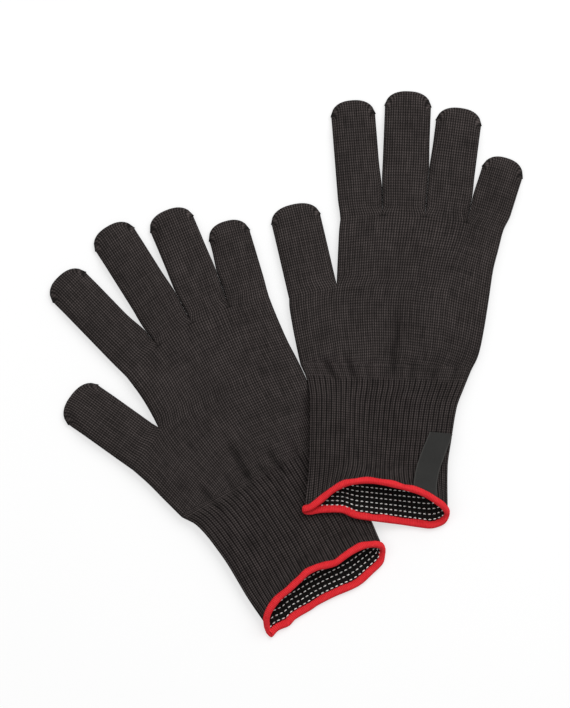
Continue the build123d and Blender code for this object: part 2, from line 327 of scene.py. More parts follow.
left = Glove(
    name="left",
    x=-15.72,
    y=-72.14,
    heading=30.0,
    thumb_side=[(-48.8, 4.5), (-52.3, 17.8), (-55.5, 30.4), (-58.6, 40.0)],
    index_side=[(-33.9, 66.0), (-34.0, 76.0), (-34.7, 84.0)],
    little_side=[
        (47.0, 4.5), (49.6, 17.0), (52.3, 34.6), (53.8, 49.9), (54.6, 64.0), (56.6, 80.6),
    ],
    row_height=50.0,
    digits=[
        Digit("thumb", -47.4, 50.2, 24.0, 51.6, 28.4, 28.4),
        Digit("index_finger", -23.9, 95.8, 13.6, 67.2, 25.0, 25.4),
        Digit("middle_finger", 0.6, 100.4, 1.7, 72.2, 23.6, 25.8),
        Digit("ring_finger", 23.9, 100.3, -7.8, 64.3, 23.6, 26.2),
        Digit("little_finger", 47.5, 96.1, -13.8, 46.8, 23.4, 23.9),
    ],
    contacts=[9.5, 17.5, 20.5],
    rib_start=3.5,
    sides=[(-4.5, -43.6, 45.4), (-17.0, -41.2, 44.8), (-36.0, -39.8, 44.2), (-50.0, -39.8, 43.6)],
    rim_top=[
        (-37.9, -74.4, 4.8), (-36.2, -71.8, 7.6), (-32.2, -68.8, 10.0), (-24.4, -65.7, 11.8),
        (-17.4, -64.4, 12.6), (-10.1, -62.6, 13.4), (-4.1, -61.2, 13.8), (1.9, -61.4, 13.8),
        (6.8, -63.0, 13.4), (12.6, -64.4, 12.8), (18.8, -63.8, 12.9), (24.6, -63.4, 12.9),
        (31.5, -63.9, 12.2), (37.8, -66.1, 9.8),
    ],
    rim_bottom=[
        (41.2, -69.4, 6.0), (39.6, -72.6, 2.8), (36.4, -75.5, 1.3), (28.9, -77.5, 1.0),
        (20.7, -79.4, 1.0), (13.7, -79.3, 1.0), (3.8, -78.1, 1.0), (-6.5, -77.6, 1.0),
        (-12.0, -78.0, 1.0), (-21.8, -78.2, 1.0), (-27.1, -79.7, 1.0), (-33.7, -79.0, 1.0),
        (-38.9, -80.4, 1.0), (-39.0, -77.4, 2.4),
    ],
    furrows=[
        ((-28.0, -6.0), (-32.0, 20.0), 1.0),
        ((-15.0, -6.0), (-16.5, 18.0), 0.8),
        ((-5.2, -5.0), (-4.4, 38.0), 1.6),
        ((4.5, -6.0), (4.0, 14.0), 0.9),
        ((13.8, -6.0), (11.8, 22.0), 1.5),
        ((25.0, -6.0), (28.0, 20.0), 0.9),
    ],
    draped=False,
    seed=8,
)


# -------------------------------------------------------------------- lines and places


def smooth(value):
    """Ease from 0 to 1."""
    held = np.clip(value, 0.0, 1.0)
    return held * held * (3 - 2 * held)


def unit(vectors):
    return vectors / np.linalg.norm(vectors, axis=-1, keepdims=True)


def distances(points):
    """Distance of each point from the first of its run, or of its column in a grid."""
    steps = np.linalg.norm(np.diff(points, axis=0), axis=-1)
    return np.concatenate([0 * steps[:1], np.cumsum(steps, axis=0)])


def read_off(wanted, keys, values):
    """Rows of `values`, which are given at `keys`, at the places `wanted`."""
    return np.stack([np.interp(wanted, keys, column) for column in values.T], axis=1)


def spline(run):
    """Points of the smooth curve through `run`, span by span, without its end spans."""
    run = np.array(run, float)
    t = np.linspace(0, 1, span_points, endpoint=False)[:, None]
    spans = []
    for a, b, c, d in zip(run, run[1:], run[2:], run[3:]):
        bent = (2 * a - 5 * b + 4 * c - d) * t**2 + (3 * b - a - 3 * c + d) * t**3
        spans.append(b + 0.5 * ((c - a) * t + bent))
    return spans


def path(points, shares):
    """Points at `shares` of the length of the smooth curve through `points`."""
    points = np.array(points, float)
    before = 2 * points[0] - points[1]
    after = 2 * points[-1] - points[-2]
    dense = np.vstack([*spline([before, *points, after]), points[-1:]])
    along = distances(dense)
    return read_off(shares, along / along[-1], dense)


def hermite(t, start, end, leaving, arriving):
    """Between `start` and `end`, leaving and arriving at the given slopes."""
    risen = 3 * t**2 - 2 * t**3
    slopes = leaving * (t**3 - 2 * t**2 + t) + arriving * (t**3 - t**2)
    return start * (1 - risen) + end * risen + slopes


def inward(points, side):
    """Unit normals of a plan curve that runs up the glove, pointing into the glove."""
    along = unit(np.gradient(points, axis=0))
    return np.stack([along[:, 1], -along[:, 0]], axis=1) * -side


def heading_of(digit):
    """Unit vectors along and across a digit, in the glove's frame."""
    lean = math.radians(digit.lean)
    along = np.array([-math.sin(lean), math.cos(lean)])
    across = np.array([math.cos(lean), math.sin(lean)])
    return along, across


def place(digit, local):
    """Plan points of a digit's own frame (across, along) in the glove's frame."""
    along, across = heading_of(digit)
    local = np.asarray(local, float)
    return (digit.x, digit.y) + local[..., :1] * across + local[..., 1:2] * along


def into(digit, plan):
    """Plan points of the glove's frame in a digit's own frame."""
    along, across = heading_of(digit)
    offset = np.asarray(plan, float) - (digit.x, digit.y)
    return np.stack([offset @ across, offset @ along], axis=-1)


def turned(glove, ways):
    """Directions in a glove's frame to directions in the shared frame."""
    turn = math.radians(glove.heading)
    x = ways[:, 0] * math.cos(turn) - ways[:, 1] * math.sin(turn)
    y = ways[:, 0] * math.sin(turn) + ways[:, 1] * math.cos(turn)
    return np.column_stack([x, y, ways[:, 2]])


def to_row(glove, points):
    """Millimetres in a glove's frame to metres in the shared frame."""
    return (turned(glove, points) + (glove.x, glove.y, 0.0)) * MM


# --------------------------------------------------------------------- uneven surfaces


def ripple(x, y, seed, shortest, longest, waves=9):
    """Gentle uneven height, about -1 to 1, from plane waves in all directions."""
    dice = np.random.default_rng(seed)
    total = 0.0
    for _ in range(waves):
        turn = dice.uniform(0, math.tau)
        length = dice.uniform(shortest, longest)
        phase = dice.uniform(0, math.tau)
        run = (x * math.cos(turn) + y * math.sin(turn)) / length
        total = total + np.sin(math.tau * run + phase)
    return total / math.sqrt(waves)


def furrowing(glove, x, y):
    """Depth of the furrows in the upper layer of a glove."""
    total = 0.0
    for (x_low, y_low), (x_high, y_high), depth in glove.furrows:
        share = (y - y_low) / (y_high - y_low)
        middle = x_low + share * (x_high - x_low)
        ends = smooth(4 * share) * smooth(2 * (1 - share))
        total = total + depth * ends * np.exp(-(((x - middle) / furrow_width) ** 2))
    return total


def uneven(glove, points, normals):
    """The points with soft waves and furrows where they face up."""
    points = points.copy()
    x, y = points[..., 0], points[..., 1]
    facing_up = smooth((normals[..., 2] - facing_low) / facing_fade)
    height = wave_height * ripple(x, y, glove.seed, *wave_lengths) - furrowing(glove, x, y)
    points[..., 2] += facing_up * height * smooth((y - still_below) / still_fade)
    return points


def painted_fold_shade(glove, points, normals):
    """Painted shade: how much darker the yarn is drawn in folds and furrows, where shade falls."""
    folded = smooth(1 - np.abs(normals[:, 2]) / folded_below)
    furrowed = furrowing(glove, points[:, 0], points[:, 1]) * (normals[:, 2] > 0)
    return np.clip(folded + furrow_shade * furrowed, 0, 1)


# ---------------------------------------------------------------------------- the net


class Net:
    """Points and faces of knitting. Each face corner has its place in the stitches."""

    def __init__(self):
        self.points = []
        self.faces = []
        self.knit = []
        self.owners = []

    def add(self, points):
        first = len(self.points)
        self.points.extend(np.asarray(points, float).reshape(-1, 3))
        return list(range(first, len(self.points)))

    def face(self, corners, knit, owner):
        kept = [k for k, c in enumerate(corners) if c != corners[k - 1]]
        if len(kept) >= 3:
            self.faces.append([corners[k] for k in kept])
            self.knit.append([knit[k] for k in kept])
            self.owners.append(owner)


@dataclass
class Ring:
    """One row round a flat tube: point numbers from the thumb side to the little side."""

    top: list
    bottom: list
    left: list               # inner points of the side fold, from top to bottom
    right: list
    course: np.ndarray       # distance of each column along the knitting

    def fold(self, side):
        if side < 0:
            return [self.top[0], *self.left, self.bottom[0]]
        return [self.top[-1], *self.right, self.bottom[-1]]

    def part(self, first, last, left, right):
        """The columns from `first` to `last` as a ring with side folds of its own."""
        span = slice(first, last + 1)
        return Ring(self.top[span], self.bottom[span], left, right, self.course[span])


def weave(net, lower, upper, first_wale, owner):
    """Joins two rings with faces. `first_wale` is the wale at the ring's left edge."""
    count = len(lower.top) - 1
    across = np.arange(count + 1)
    folded = np.arange(fold_wales + 1)
    strips = (
        (lower.top, upper.top, first_wale + across, across, 0),
        (lower.bottom, upper.bottom, mirror_wale - first_wale - across, across, 1),
        (lower.fold(1), upper.fold(1), first_wale + count + folded, 0 * folded + count, 0),
        (lower.fold(-1), upper.fold(-1), first_wale - folded, 0 * folded, 1),
    )
    for below, above, wale, column, flipped in strips:
        low, high = lower.course[column], upper.course[column]
        for k in range(len(below) - 1):
            a, b = k + flipped, k + 1 - flipped
            knit = (wale[a], low[a]), (wale[b], low[b]), (wale[b], high[b]), (wale[a], high[a])
            net.face((below[a], below[b], above[b], above[a]), knit, owner)


fold_angles = math.pi * np.arange(1, fold_wales) / fold_wales


def fold_points(edge, outline, height):
    """Inner points of a side fold, from the top layer round the outline to the bottom."""
    plan = edge + (outline - edge) * np.sin(fold_angles)[:, None]
    z = height / 2 * (1 + np.cos(fold_angles))
    return np.column_stack([plan, z])


def ring_points(plan, heights, left_outline, right_outline):
    """Points of a ring: its top layer, which has the given plan, its bottom and folds."""
    return (
        np.column_stack([plan, heights]),
        np.column_stack([plan, 0 * heights]),
        fold_points(plan[0], left_outline, heights[0]),
        fold_points(plan[-1], right_outline, heights[-1]),
    )


def crowned(plan, height):
    """Heights of a row of the top layer: full in the middle and lower at the folds."""
    from_left = np.linalg.norm(plan - plan[0], axis=1)
    from_right = np.linalg.norm(plan - plan[-1], axis=1)
    rise = smooth(np.minimum(from_left, from_right) / crown_width)
    return height * (edge_share + (1 - edge_share) * rise)


# --------------------------------------------------------------------------- the hand


def crotch(one, other):
    """Plan of the crotch between two digits: its lowest point and the one below it."""
    a = place(one, [one.root_width / 2, 0.0])
    b = place(other, [-other.root_width / 2, 0.0])
    up = unit(heading_of(one)[0] + heading_of(other)[0])
    saddle = (a + b) / 2
    return saddle, saddle - fold_inset * up


def root_corner(digit, side, inset=0.0):
    """Where a digit's root line meets its left or right outline, or `inset` inside it."""
    return place(digit, [side * (digit.root_width / 2 - inset), -fold_inset])


def columns(starts, ends, start_ways, end_ways, shares):
    """Smooth columns of points from `starts` to `ends`, leaving along the given ways."""
    span = np.linalg.norm(ends - starts, axis=1)[:, None]
    return hermite(shares[:, None, None], starts, ends, start_ways * span, end_ways * span)


def fit_sides(grid, left_path, right_path):
    """Moves a grid of columns sideways so that its edges follow two given paths."""
    across = np.linspace(0, 1, grid.shape[1])[None, :, None]
    left_shift = (left_path - grid[:, 0])[:, None]
    right_shift = (right_path - grid[:, -1])[:, None]
    return grid + (1 - across) * left_shift + across * right_shift


def hand_plan(glove):
    """Plan grids of the hand: below the row through the thumb's crotch, and above it."""
    thumb, index, little = glove.digits[0], glove.digits[1], glove.digits[-1]
    saddles = [crotch(a, b) for a, b in zip(glove.digits[1:], glove.digits[2:])]
    up = np.array((0.0, 1.0))
    thumb_way = heading_of(thumb)[0]
    thumb_saddle = place(thumb, [thumb.root_width / 2, 0.0])
    thumb_edge = thumb_saddle - fold_inset * unit(thumb_way + up)

    # the outlines, and the edges of the top layer just inside them
    lower_rows = round((thumb_saddle[1] - wrist_half) / row_pitch)
    upper_rows = round((index.y - thumb_saddle[1]) / row_pitch)
    lower = np.linspace(0, 1, lower_rows + 1)
    upper = np.linspace(0, 1, upper_rows + 1)
    little_points = [*glove.little_side, root_corner(little, 1)]
    sampled = np.linspace(0, 1, 200)
    split = np.interp(glove.row_height, path(little_points, sampled)[:, 1], sampled)
    outlines = (
        path([*glove.thumb_side, root_corner(thumb, -1)], lower),
        path(little_points, lower * split),
        path([thumb_saddle, *glove.index_side, root_corner(index, -1)], upper),
        path(little_points, split + upper * (1 - split)),
    )
    edges = [line + fold_inset * inward(line, side) for line, side in zip(outlines, (-1, 1, -1, 1))]
    thumb_edges, lower_edges, index_edges, upper_edges = edges
    start = thumb_edge + (outlines[2] - outlines[2][0])
    apart = smooth(upper * upper_rows * row_pitch / crotch_run_in)[:, None]
    index_edges = start + apart * (index_edges - start)
    thumb_edges[-1] = root_corner(thumb, -1, fold_inset)
    index_edges[-1] = root_corner(index, -1, fold_inset)
    upper_edges[-1] = root_corner(little, 1, fold_inset)
    lower_edges[-1] = upper_edges[0]

    # rows where the knitting divides: at the thumb's root and at the fingers' roots
    wale = np.arange(palm_wales + 1)
    thumb_row = np.linspace(thumb_edges[-1], thumb_edge, thumb_wales + 1)
    middle_row = np.linspace(thumb_edge, upper_edges[0], palm_wales + 1)
    knuckles = np.array([index_edges[-1], *[low for _, low in saddles], upper_edges[-1]])
    knuckle_row = read_off(wale, finger_wales * np.arange(5), knuckles)

    # ways in which the columns run where they cross those rows
    right_way = unit(outlines[3][1] - outlines[3][0])
    middle_ways = np.linspace(up, right_way, palm_wales + 1)
    finger_ways = np.array([heading_of(d)[0] for d in glove.digits[1:]])
    knuckle_ways = read_off(wale, finger_wales * (np.arange(4) + 0.5), finger_ways)
    upper_grid = columns(middle_row, knuckle_row, middle_ways, knuckle_ways, upper)

    wrist_row = np.linspace(thumb_edges[0], lower_edges[0], thumb_wales + palm_wales + 1)
    left_way, right_way = [unit(line[1] - line[0]) for line in outlines[:2]]
    wrist_ways = np.linspace(left_way, right_way, thumb_wales + palm_wales + 1)
    share = smooth(np.linspace(0, 1, thumb_wales + 1))[:, None]
    thumb_ways = (1 - share) * thumb_way + share * up
    lower_ends = np.vstack([thumb_row, middle_row[1:]])
    lower_ways = np.vstack([thumb_ways, middle_ways[1:]])
    lower_grid = columns(wrist_row, lower_ends, wrist_ways, lower_ways, lower)
    lower_grid = fit_sides(lower_grid, thumb_edges, lower_edges)
    upper_grid = fit_sides(upper_grid, index_edges, upper_edges)
    return lower_grid, upper_grid, outlines, thumb_saddle, saddles


def strut(net, saddle, ring, column):
    """Adds the short curve of points through a crotch, from the top to the bottom layer."""
    high = net.points[ring.top[column]]
    return net.add(fold_points(high[:2], saddle, high[2]))


def build_hand(net, glove):
    """Adds the hand to the net. Returns its wrist ring and each digit's first ring."""
    lower_grid, upper_grid, outlines, thumb_saddle, saddles = hand_plan(glove)
    upper_course = distances(upper_grid)
    upper_course -= upper_course[-1]
    lower_course = distances(lower_grid)
    start_course = np.pad(upper_course[0], (thumb_wales, 0), mode="edge")
    lower_course += start_course - lower_course[-1]

    def add_rows(rings, grid, heights, left_outline, right_outline, course, first_wale):
        """Adds the rings that are still missing from a grid's rows, and joins them all."""
        for j in range(len(rings), len(grid)):
            rise = crowned(grid[j], heights[j])
            points = ring_points(grid[j], rise, left_outline[j], right_outline[j])
            rings.append(Ring(*map(net.add, points), course[j]))
        for low, high in zip(rings, rings[1:]):
            weave(net, low, high, first_wale, "hand")
        return rings

    heights = np.full(len(lower_grid), hand_height)
    rings = add_rows([], lower_grid, heights, *outlines[:2], lower_course, 0)
    wrist, last = rings[0], rings[-1]
    thumb_strut = strut(net, thumb_saddle, last, thumb_wales)
    digit_rings = [last.part(0, thumb_wales, last.left, thumb_strut)]
    first = last.part(thumb_wales, thumb_wales + palm_wales, thumb_strut, last.right)

    fall = smooth(4 * np.linspace(0, 1, len(upper_grid)) - 3)
    heights = hand_height + (finger_height + root_swell - hand_height) * fall
    rings = add_rows([first], upper_grid, heights, *outlines[2:], upper_course, thumb_wales)
    last = rings[-1]
    struts = [last.left]
    for number, (saddle, _) in enumerate(saddles, 1):
        struts.append(strut(net, saddle, last, number * finger_wales))
    struts.append(last.right)
    for number in range(4):
        start = number * finger_wales
        beside = struts[number : number + 2]
        digit_rings.append(last.part(start, start + finger_wales, *beside))
    return wrist, digit_rings


# ------------------------------------------------------------------------- the digits


def build_digit(net, glove, digit, first, first_wale):
    """Adds a digit to the net, from the ring at its root to its closed tip."""
    count = len(first.top) - 1
    half = digit.tip_width / 2
    shoulder = digit.length - tip_rise
    root = np.array([net.points[i] for i in first.top])
    root_x, root_s = into(digit, root[:, :2]).T
    folds = (first.left, first.right)
    saddles = [into(digit, net.points[fold[fold_middle]][:2]) for fold in folds]
    across = np.linspace(-1, 1, count + 1)
    tip_s = shoulder + tip_rise * np.sqrt(1 - np.abs(across) ** tip_fullness)
    spare = digit.length + fold_inset
    near_tip = 1 - np.array(tip_rows)[::-1] / spare
    even = np.linspace(0, near_tip[0], round(spare / row_pitch) - 2)

    def half_width(side, start, s):
        """Half width of a side, less where its neighbour presses on it."""
        root_half = digit.root_width / 2
        full = root_half + (half - root_half) * smooth(s / spread_length)
        neighbour = glove.neighbour(digit, side)
        if neighbour is None:
            return full
        opening = math.radians(abs(digit.lean - neighbour.lean) / 2)
        room = abs(start[0]) + (s - start[1]) * math.tan(opening)
        parted = np.clip((s - start[1] - glove.contact(digit, side)) / parting, 0, 1)
        return room + parted * (2 - parted) * (min(full, room) - room) - press_gap

    def seam_distance(x, s):
        """Distance from the closing curve of the tip, in plan."""
        x = np.clip(np.abs(x) / half, 0.0, 1.0)
        y = np.maximum(s - shoulder, 0.0) / tip_rise
        slope = np.hypot(tip_fullness * x ** (tip_fullness - 1) / half, 2 * y / tip_rise)
        inside = np.maximum(1 - x**tip_fullness - y**2, 0.0) / np.maximum(slope, least_slope)
        return inside + np.maximum(shoulder - s, 0.0)

    previous = first
    for share in (*even[1:-1], *near_tip[:-1]):
        s = root_s + share * (tip_s - root_s)
        edges, outlines = [], []
        for side, end, start in ((-1, 0, saddles[0]), (1, -1, saddles[1])):
            closing = np.clip((s[end] - tip_s[end]) / fold_closing + 1, 0, 1)
            inset = fold_inset * math.sqrt(1 - closing**2)
            grown = smooth((s[end] - root_s[end]) / fold_run_in)
            full = side * (half_width(side, start, s[end]) - inset)
            edges.append(root_x[end] + grown * (full - root_x[end]))
            along = start[1] + share * (tip_s[end] - start[1])
            reach = outline_reach if glove.neighbour(digit, side) is None else press_reach
            grown = smooth((along - start[1]) / reach)
            wide = side * half_width(side, start, along)
            outlines.append(np.array([start[0] + grown * (wide - start[0]), along]))
        plan = np.column_stack([edges[0] + (across + 1) / 2 * (edges[1] - edges[0]), s])
        swell = root_swell * (1 - smooth((s - root_s) / root_settle))
        heights = crowned(plan, finger_height + swell)
        heights += (1 - smooth((s - root_s) / root_blend)) * (root[:, 2] - heights)
        added = []
        for points in ring_points(plan, heights, *outlines):
            to_seam = seam_distance(points[:, 0], points[:, 1])
            thin = tip_height + (finger_height - tip_height) * smooth(to_seam / tip_taper)
            z = points[:, 2] * np.minimum(thin / finger_height, 1.0)
            fullness = np.sqrt(1 - (1 - np.clip(to_seam / tip_round, 0, 1)) ** 2)
            z = tip_height / 2 + (z - tip_height / 2) * fullness
            added.append(net.add(np.column_stack([place(digit, points[:, :2]), z])))
        ring = Ring(*added, first.course + s - root_s)
        weave(net, previous, ring, first_wale, digit.name)
        previous = ring

    tip_x = across * half
    tip_x[[0, -1]] += (-tip_knot, tip_knot)
    plan = place(digit, np.column_stack([tip_x, tip_s]))
    seam = net.add(np.column_stack([plan, np.full(count + 1, tip_height / 2)]))
    closed = [[seam[end]] * (fold_wales - 1) for end in (0, -1)]
    last = Ring(seam, seam, *closed, first.course + tip_s - root_s)
    weave(net, previous, last, first_wale, digit.name)


# ----------------------------------------------------------------------------- meshes


def quads(rows, columns, first=0, ring=False, tube=True):
    """Faces of a grid of points, and the row and column of each face's corners. A tube
    joins the last column to the first, and a ring joins the last row to the first."""
    faces, corners = [], []
    for j in range(rows if ring else rows - 1):
        for i in range(columns if tube else columns - 1):
            corner = [(j, i), (j + 1, i), (j + 1, i + 1), (j, i + 1)]
            faces.append([first + a % rows * columns + b % columns for a, b in corner])
            corners.append(corner)
    return faces, corners


def vertex_normals(points, faces):
    """Normals of triangles and quads at their points, weighted by area."""
    normals = np.zeros_like(points)
    for size in (3, 4):
        chosen = np.array([f for f in faces if len(f) == size], int).reshape(-1, size)
        corners = points[chosen]
        cross = np.cross(corners[:, 2] - corners[:, 0], corners[:, -1] - corners[:, 1])
        for k in range(size):
            np.add.at(normals, chosen[:, k], cross)
    length = np.linalg.norm(normals, axis=1)
    length[length < tiny] = 1.0
    return normals / length[:, None]


def add_object(name, data):
    made = bpy.data.objects.new(name, data)
    bpy.context.scene.collection.objects.link(made)
    return made


def make_object(name, points, faces, corner_knit, material, corner_normals=None, painted_shade=None):
    """A smooth mesh object from points in metres in the shared frame."""
    mesh = bpy.data.meshes.new(name)
    mesh.from_pydata([tuple(p) for p in points], [], faces)
    layer = mesh.uv_layers.new(name="knit")
    layer.uv.foreach_set("vector", np.asarray(corner_knit, np.float32).ravel())
    # painted shade in folds and furrows, kept as a point attribute that the yarn's colour reads
    if painted_shade is not None:
        values = mesh.attributes.new("painted_shade", "FLOAT", "POINT")
        values.data.foreach_set("value", np.asarray(painted_shade, np.float32))
    mesh.shade_smooth()
    if corner_normals is not None:
        mesh.normals_split_custom_set([tuple(n) for n in corner_normals])
    mesh.materials.append(material)
    return add_object(name, mesh)


def fabric_piece(name, glove, points, normals, faces, knit, thickness, material):
    """A layer of fabric: the given faces outside, the same faces `thickness` further in,
    and a rim along every open edge, so that the piece is closed."""
    used = sorted({i for face in faces for i in face})
    number = {old: new for new, old in enumerate(used)}
    count = len(used)
    outer, ways = points[used], normals[used]
    whole = np.vstack([outer, outer - ways * thickness])
    all_faces, all_knit, all_ways, edges = [], [], [], {}
    for face, spots in zip(faces, knit):
        mapped = [number[i] for i in face]
        all_faces += [mapped, [i + count for i in mapped[::-1]]]
        all_knit += [*spots, *spots[::-1]]
        all_ways += [*ways[mapped], *-ways[mapped[::-1]]]
        for k, corner in enumerate(mapped):
            edges[(corner, mapped[k - 1])] = (spots[k], spots[k - 1])
    for (a, b), (knit_a, knit_b) in edges.items():
        if (b, a) in edges:
            continue
        across = np.cross(whole[b + count] - whole[a], whole[a + count] - whole[b])
        across /= max(np.linalg.norm(across), tiny)
        all_faces.append([a, b, b + count, a + count])
        all_knit += [knit_a, knit_b, knit_b, knit_a]
        all_ways += [across] * 4
    all_ways = turned(glove, np.array(all_ways))
    # painted shade in folds and furrows, the same on both faces
    painted_shade = np.tile(painted_fold_shade(glove, outer, ways), 2)
    return make_object(name, to_row(glove, whole), all_faces, all_knit, material, all_ways, painted_shade)


# --------------------------------------------------------------------------- the cuff


def drape(glove, x, y):
    """How far the fabric is lifted by the glove that it lies over."""
    if not glove.draped:
        return 0.0
    start_x, start_y = under_edge_start
    end_x, end_y = under_edge_end
    edge_x = start_x + (y - start_y) * (end_x - start_x) / (end_y - start_y)
    climbed = smooth((-wrist_half - y) / drape_run_in)
    return drape_height * climbed * smooth((edge_x + drape_reach - x) / drape_fall)


def even_ring(upper, lower):
    """Closed ring from the left fold over the top to the right fold and back below."""
    halves = []
    for run in (upper, lower):
        along = distances(run)
        even = np.linspace(0, along[-1], ribs_per_side * rib_points, endpoint=False)
        halves.append(read_off(even, along, run))
    return np.vstack(halves)


def wrist_ring(net, ring):
    """The hand's own lower edge as a ring of the cuff."""
    middle = fold_middle
    upper = [*ring.left[middle::-1], *ring.top, *ring.right[: middle + 1]]
    lower = [*ring.right[middle:], *ring.bottom[::-1], *ring.left[: middle - 1 : -1]]
    lower.append(ring.left[middle])
    points = np.array(net.points)
    return even_ring(points[upper], points[lower])


def flat_section(glove, y, left_side, right_side):
    """Ring of a flattened cuff section across the glove at `y`."""
    across = np.cos(np.linspace(math.pi, 0, section_points))
    bulge = (1 - np.abs(across) ** cuff_squareness) ** (1 / cuff_squareness)
    x = (left_side + right_side) / 2 + (right_side - left_side) / 2 * across
    runs = []
    for side in (1, -1):
        z = cuff_height / 2 * (1 + side * bulge) + drape(glove, x, y)
        runs.append(np.column_stack([x, np.full_like(x, y), z]))
    return even_ring(runs[0], runs[1][::-1])


def rim_ring(glove):
    """Ring of the open mouth, where the fabric ends."""
    loop = [*glove.rim_top, *glove.rim_bottom]
    spans = spline([loop[-1], *loop, loop[0], loop[1]])
    turn = len(glove.rim_top)
    upper = np.vstack([*spans[:turn], loop[turn]])
    lower = np.vstack([*spans[turn:], loop[0]])
    return even_ring(upper, lower)


def steady(keys, values, wanted):
    """Smooth curves through `values` at `keys` that never overshoot between them."""
    gaps = np.diff(keys)
    slopes = np.diff(values, axis=0) / gaps[:, None, None]
    tangents = np.zeros_like(values)
    tangents[0], tangents[-1] = slopes[0], slopes[-1]
    product = slopes[:-1] * slopes[1:]
    total = slopes[:-1] + slopes[1:]
    safe = np.where(np.abs(total) < 1e-9, 1.0, total)
    tangents[1:-1] = np.where(product > 0, 2 * product / safe, 0.0)
    at = np.clip(np.searchsorted(keys, wanted, side="right") - 1, 0, len(gaps) - 1)
    gap = gaps[at][:, None, None]
    t = (wanted - keys[at])[:, None, None] / gap
    return hermite(t, values[at], values[at + 1], tangents[at] * gap, tangents[at + 1] * gap)


def cuff_grid(glove, net, ring):
    """Grid of points of the cuff's outside without its ribs, and each row's distance."""
    sections = [flat_section(glove, *section) for section in glove.sides]
    keys = np.array([wrist_ring(net, ring), *sections, rim_ring(glove)])
    key_along = distances(keys).mean(axis=1)
    along = np.linspace(0, key_along[-1], cuff_rows + 1)
    return steady(key_along, keys, along), along


def grid_normals(grid):
    """Outward unit normals of a grid of rows round a tube."""
    round_way = np.roll(grid, -1, axis=1) - np.roll(grid, 1, axis=1)
    return unit(np.cross(np.gradient(grid, axis=0), round_way))


def build_cuff(glove, base, along):
    """The ribbed cuff from the wrist to its mouth, both faces of its fabric."""
    base = uneven(glove, base, grid_normals(base))
    normals = grid_normals(base)
    rows, count = base.shape[:2]
    size = rows * count
    past_start = along - glove.rib_start
    groove = np.abs(np.cos(math.pi * np.arange(count) / rib_points)) ** groove_sharpness
    depth = rib_depth * smooth((past_start + rib_lead) / rib_run_in)[:, None] * groove
    outer = base - normals * depth[..., None]
    in_edge = smooth((along - along[-1] + edge_length) / edge_length)
    layer = cuff_layer * (1 - edge_thinning * in_edge)
    inner = outer - normals * layer[:, None, None]
    points = np.concatenate([outer, inner]).reshape(-1, 3)
    ways = np.concatenate([grid_normals(outer), -grid_normals(inner)]).reshape(-1, 3)

    outside, corners = quads(rows, count)
    faces = outside + [[c + size for c in face[::-1]] for face in outside]
    corners += [corner[::-1] for corner in corners]
    for i in range(count):
        for j, a, b in ((0, i, i + 1), (rows - 1, i + 1, i)):
            one, other = j * count + a % count, j * count + b % count
            faces.append([one, other, other + size, one + size])
            corners.append([(j, a), (j, b), (j, b), (j, a)])
    wales = rib_wales / rib_points
    piece = make_object(
        f"{glove.name}_ribbed_cuff_knit",
        to_row(glove, points),
        faces,
        [[(i * wales, past_start[j]) for j, i in corner] for corner in corners],
        ribbing,
        turned(glove, ways[np.ravel(faces)]),
        # painted shade in folds and furrows, the same on both faces
        np.tile(painted_fold_shade(glove, base.reshape(-1, 3), normals.reshape(-1, 3)), 2),
    )
    # its inner faces get the rib knit with painted shade
    piece.data.materials.append(rib_shaded_inside)
    for polygon in piece.data.polygons[len(outside) : len(faces)]:
        polygon.material_index = 1
    return piece, base, normals, inner


def build_edge(glove, base, normals):
    """The overlocked edge: a soft band of threads wound round the end of the fabric."""
    spread = distances(np.vstack([base[-1], base[-1][:1]]))
    count = round(spread[-1] / stitch_pitch) * stitch_points
    even = np.linspace(0, spread[-1], count, endpoint=False)

    def resample(values):
        return read_off(even, spread, np.vstack([values, values[:1]]))

    def calmed(ways):
        return (np.roll(ways, -1, axis=0) + ways + np.roll(ways, 1, axis=0)) / 3

    centre = resample(base[-1])
    out, end = resample(normals[-1]), resample(base[-1] - base[-1 - edge_stride])
    ahead, behind = np.roll(centre, -edge_stride, axis=0), np.roll(centre, edge_stride, axis=0)
    tangent = unit(ahead - behind)
    for _ in range(edge_calming):
        out, tangent = calmed(out), calmed(tangent)
    tangent = unit(tangent)
    out = unit(out - tangent * np.sum(out * tangent, axis=1)[:, None])
    across = np.cross(tangent, out)
    end = across * np.sign(np.sum(across * end, axis=1))[:, None]

    turn = math.tau * np.arange(edge_section) / edge_section
    cos, sin = np.cos(turn), np.sin(turn)
    section_along = np.sign(cos) * np.abs(cos) ** (2 / edge_squareness)
    section_out = np.sign(sin) * np.abs(sin) ** (2 / edge_squareness)
    column = np.arange(count)[:, None]
    wound = column / stitch_points + np.arange(edge_section) / edge_section
    ridge = 1 + thread_ridge * (np.abs(np.sin(math.pi * wound)) - thread_mean)
    angle = math.tau * column / count
    ring_x, ring_y = edge_wave_ring * np.cos(angle), edge_wave_ring * np.sin(angle)
    wavy = ripple(ring_x, ring_y, glove.seed, *edge_waves)
    reach = 1 + edge_spread * smooth(edge_lower_side - out[:, 2:])
    along = edge_length / 2 * (section_along - 1) * reach
    along = along * (1 + edge_uneven_length * wavy) * ridge + edge_overhang
    half = (edge_outside + edge_inside + cuff_layer) / 2
    outward = half * section_out * (1 + edge_uneven_height * wavy) * ridge + edge_outside - half
    points = centre[:, None] + end[:, None] * along[..., None] + out[:, None] * outward[..., None]
    points[..., 2] = np.maximum(points[..., 2], floor_gap)
    faces, corners = quads(count, edge_section, ring=True)
    points = to_row(glove, points.reshape(-1, 3))
    return make_object(f"{glove.name}_overlocked_edge", points, faces, corners, edging)


